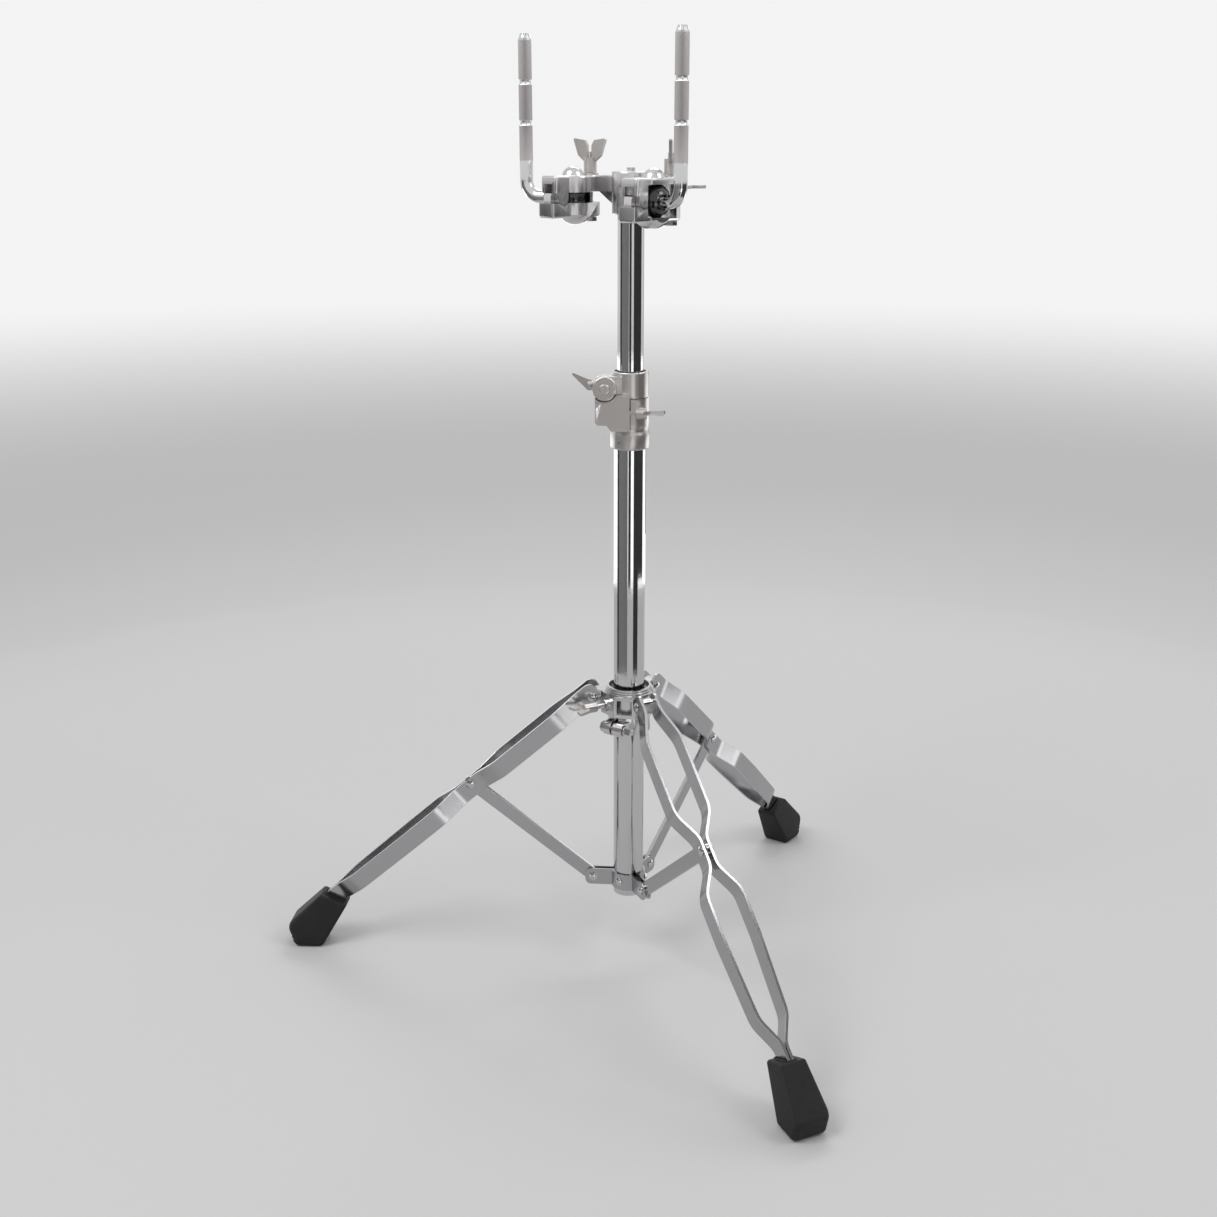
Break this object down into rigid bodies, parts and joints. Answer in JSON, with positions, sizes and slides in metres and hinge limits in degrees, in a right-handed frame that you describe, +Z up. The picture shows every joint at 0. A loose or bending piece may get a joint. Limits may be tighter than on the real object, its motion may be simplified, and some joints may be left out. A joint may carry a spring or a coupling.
{
  "type": "double tom stand",
  "caption": "Folding tripod stand of chromed steel with a telescoping column, a cross yoke with twin ball clamps and upright L-shaped holder arms",
  "frame": {"origin": "on the floor under the column axis", "axes": "+Z up along the column; the left leg points along -X, the front leg toward -Y and +X, the back leg toward +Y and +X"},
  "size_m": [0.5774, 0.6654, 0.9485],
  "materials": {
    "chrome_tube": "polished chrome-plated steel tube",
    "chrome_strap": "chrome-plated flat steel, bright rolled edges",
    "chrome_casting": "polished chrome-plated casting",
    "chrome_rod": "chrome-plated steel rod, knurled on the posts, smooth at the bends",
    "satin_wing": "satin nickel-plated cast wings",
    "fastener_steel": "bright plated steel rivets, pins, bolts and nuts",
    "foot_rubber": "matt black moulded rubber",
    "bush_nylon": "black nylon",
    "ball_black": "glossy black nylon ball"
  },
  "bodies": {
    "base": {"base_tube": "chrome_tube", "bracket_plate_1": "chrome_strap", "bracket_plate_2": "chrome_strap", "bracket_plate_3": "chrome_strap", "plate_rivets": "fastener_steel", "strut_rivets": "fastener_steel", "joint_casting": "chrome_casting", "joint_bush": "bush_nylon", "joint_nut": "fastener_steel"},
    "joint_bolt": {"joint_wing_bolt": "satin_wing"},
    "memory_lock": {"memory_lock": "chrome_casting", "lock_barrel_pin": "fastener_steel"},
    "lock_screw": {"lock_thumb_screw": "satin_wing"},
    "tube": {"upper_tube": "chrome_tube"},
    "yoke": {"yoke_casting": "chrome_casting", "hub_nut": "fastener_steel", "hub_set_screw": "fastener_steel", "jaw_pin_left": "fastener_steel", "jaw_pin_right": "fastener_steel"},
    "hub_bolt": {"hub_wing_bolt": "satin_wing"},
    "collar": {"tripod_collar": "chrome_casting", "collar_bush": "bush_nylon"},
    "collar_screw": {"collar_wing_screw": "satin_wing"},
    "stop_clamp": {"stop_clamp": "chrome_casting", "stop_nut": "fastener_steel"},
    "stop_bolt": {"stop_key_bolt": "fastener_steel"},
    "strut_left": {"strut_left": "chrome_strap"},
    "leg_left": {"leg_strap_left_a": "chrome_strap", "leg_strap_left_b": "chrome_strap", "knee_pin_left": "fastener_steel", "top_pin_left": "fastener_steel", "rubber_foot_left": "foot_rubber"},
    "strut_front": {"strut_front": "chrome_strap"},
    "leg_front": {"leg_strap_front_a": "chrome_strap", "leg_strap_front_b": "chrome_strap", "knee_pin_front": "fastener_steel", "top_pin_front": "fastener_steel", "rubber_foot_front": "foot_rubber"},
    "strut_back": {"strut_back": "chrome_strap"},
    "leg_back": {"leg_strap_back_a": "chrome_strap", "leg_strap_back_b": "chrome_strap", "knee_pin_back": "fastener_steel", "top_pin_back": "fastener_steel", "rubber_foot_back": "foot_rubber"},
    "lower_jaw_left": {"lower_jaw_left": "chrome_casting"},
    "clamp_bolt_left": {"clamp_bolt_left": "fastener_steel"},
    "wing_nut_left": {"wing_nut_left": "satin_wing"},
    "ball_left": {"ball_left": "ball_black"},
    "arm_left": {"arm_left": "chrome_rod"},
    "lower_jaw_right": {"lower_jaw_right": "chrome_casting"},
    "clamp_bolt_right": {"clamp_bolt_right": "fastener_steel"},
    "wing_nut_right": {"wing_nut_right": "satin_wing"},
    "ball_right": {"ball_right": "ball_black"},
    "arm_right": {"arm_right": "chrome_rod"}
  },
  "joints": [
    {"name": "column_height", "type": "slide", "parent": "base", "child": "tube", "axis": [0, 0, 1], "range_m": [-0.11, 0.14]},
    {"name": "joint_bolt_turn", "type": "hinge", "parent": "base", "child": "joint_bolt", "pos_m": [0.00151, -0.02395, 0.599], "axis": [0.998, 0.0628, 0], "continuous": true},
    {"name": "memory_lock_lift", "type": "slide", "parent": "base", "child": "memory_lock", "axis": [0, 0, 1], "range_m": [0, 0.012]},
    {"name": "lock_screw_turn", "type": "hinge", "parent": "memory_lock", "child": "lock_screw", "pos_m": [-0.0242, -0.01355, 0.625], "axis": [0.998, 0.0628, 0], "continuous": true},
    {"name": "yoke_turn", "type": "hinge", "parent": "tube", "child": "yoke", "pos_m": [0, 0, 0.8], "axis": [0, 0, 1], "continuous": true},
    {"name": "hub_bolt_turn", "type": "hinge", "parent": "yoke", "child": "hub_bolt", "pos_m": [0.01478, 0.01762, 0.811], "axis": [0.766, -0.6428, 0], "continuous": true},
    {"name": "fold_left", "type": "hinge", "parent": "base", "child": "strut_left", "pos_m": [-0.0375, 0, 0.092], "axis": [0, 1, 0], "range_deg": [0, 44.5]},
    {"name": "knee_left", "type": "hinge", "parent": "strut_left", "child": "leg_left", "pos_m": [-0.1682, 0, 0.19596], "axis": [0, 1, 0], "range_deg": [-89.1, 0.1]},
    {"name": "collar_lift", "type": "hinge", "parent": "leg_left", "child": "collar", "pos_m": [-0.0375, 0, 0.29992], "axis": [0, 1, 0], "range_deg": [-0.1, 44.6]},
    {"name": "fold_front", "type": "hinge", "parent": "base", "child": "strut_front", "pos_m": [0.01875, -0.03248, 0.092], "axis": [-0.866, -0.5, 0], "range_deg": [-0.1, 44.6]},
    {"name": "knee_front", "type": "hinge", "parent": "strut_front", "child": "leg_front", "pos_m": [0.0841, -0.14566, 0.19596], "axis": [-0.866, -0.5, 0], "range_deg": [-89.1, 0.1]},
    {"name": "fold_back", "type": "hinge", "parent": "base", "child": "strut_back", "pos_m": [0.01875, 0.03248, 0.092], "axis": [0.866, -0.5, 0], "range_deg": [-0.1, 44.6]},
    {"name": "knee_back", "type": "hinge", "parent": "strut_back", "child": "leg_back", "pos_m": [0.0841, 0.14566, 0.19596], "axis": [0.866, -0.5, 0], "range_deg": [-89.1, 0.1]},
    {"name": "collar_screw_turn", "type": "hinge", "parent": "collar", "child": "collar_screw", "pos_m": [-0.02539, -0.01778, 0.294], "axis": [-0.8192, -0.5736, 0], "continuous": true},
    {"name": "stop_clamp_slide", "type": "slide", "parent": "base", "child": "stop_clamp", "axis": [0, 0, 1], "range_m": [-0.1, 0]},
    {"name": "stop_bolt_turn", "type": "hinge", "parent": "stop_clamp", "child": "stop_bolt", "pos_m": [-0.0135, -0.02338, 0.271], "axis": [0.866, -0.5, 0], "continuous": true},
    {"name": "jaw_left", "type": "hinge", "parent": "yoke", "child": "lower_jaw_left", "pos_m": [-0.071, -0.00309, 0.8], "axis": [-0.766, 0.6428, 0], "range_deg": [0, 3]},
    {"name": "clamp_bolt_drop_left", "type": "slide", "parent": "yoke", "child": "clamp_bolt_left", "axis": [0, 0, -1], "range_m": [-0.0001, 0.0026]},
    {"name": "wing_nut_turn_left", "type": "hinge", "parent": "yoke", "child": "wing_nut_left", "pos_m": [-0.04143, 0.03215, 0.8225], "axis": [0, 0, 1], "continuous": true},
    {"name": "ball_swivel_left", "type": "hinge", "parent": "yoke", "child": "ball_left", "pos_m": [-0.0564, 0.0143, 0.8], "axis": [0, 0, 1], "range_deg": [-46, 4]},
    {"name": "arm_turn_left", "type": "hinge", "parent": "ball_left", "child": "arm_left", "pos_m": [-0.0564, 0.0143, 0.8], "axis": [-0.9489, 0.3156, 0], "continuous": true},
    {"name": "jaw_right", "type": "hinge", "parent": "yoke", "child": "lower_jaw_right", "pos_m": [0.00929, -0.07045, 0.8], "axis": [-0.766, 0.6428, 0], "range_deg": [0, 3]},
    {"name": "clamp_bolt_drop_right", "type": "slide", "parent": "yoke", "child": "clamp_bolt_right", "axis": [0, 0, -1], "range_m": [-0.0001, 0.0026]},
    {"name": "wing_nut_turn_right", "type": "hinge", "parent": "yoke", "child": "wing_nut_right", "pos_m": [0.03886, -0.03521, 0.8225], "axis": [0, 0, 1], "continuous": true},
    {"name": "ball_swivel_right", "type": "hinge", "parent": "yoke", "child": "ball_right", "pos_m": [0.02388, -0.05306, 0.8], "axis": [0, 0, 1], "range_deg": [-12, 28]},
    {"name": "arm_turn_right", "type": "hinge", "parent": "ball_right", "child": "arm_right", "pos_m": [0.02388, -0.05306, 0.8], "axis": [0.6101, -0.7923, 0], "continuous": true}
  ],
  "couplings": [
    {"joint": "knee_left", "follows": "fold_left", "ratio": -2},
    {"joint": "collar_lift", "follows": "fold_left", "ratio": 1},
    {"joint": "knee_front", "follows": "fold_left", "ratio": -2},
    {"joint": "fold_front", "follows": "fold_left", "ratio": 1},
    {"joint": "knee_back", "follows": "fold_left", "ratio": -2},
    {"joint": "fold_back", "follows": "fold_left", "ratio": 1},
    {"joint": "clamp_bolt_drop_left", "follows": "jaw_left", "m_per_rad": 0.046},
    {"joint": "clamp_bolt_drop_right", "follows": "jaw_right", "m_per_rad": 0.046}
  ]
}
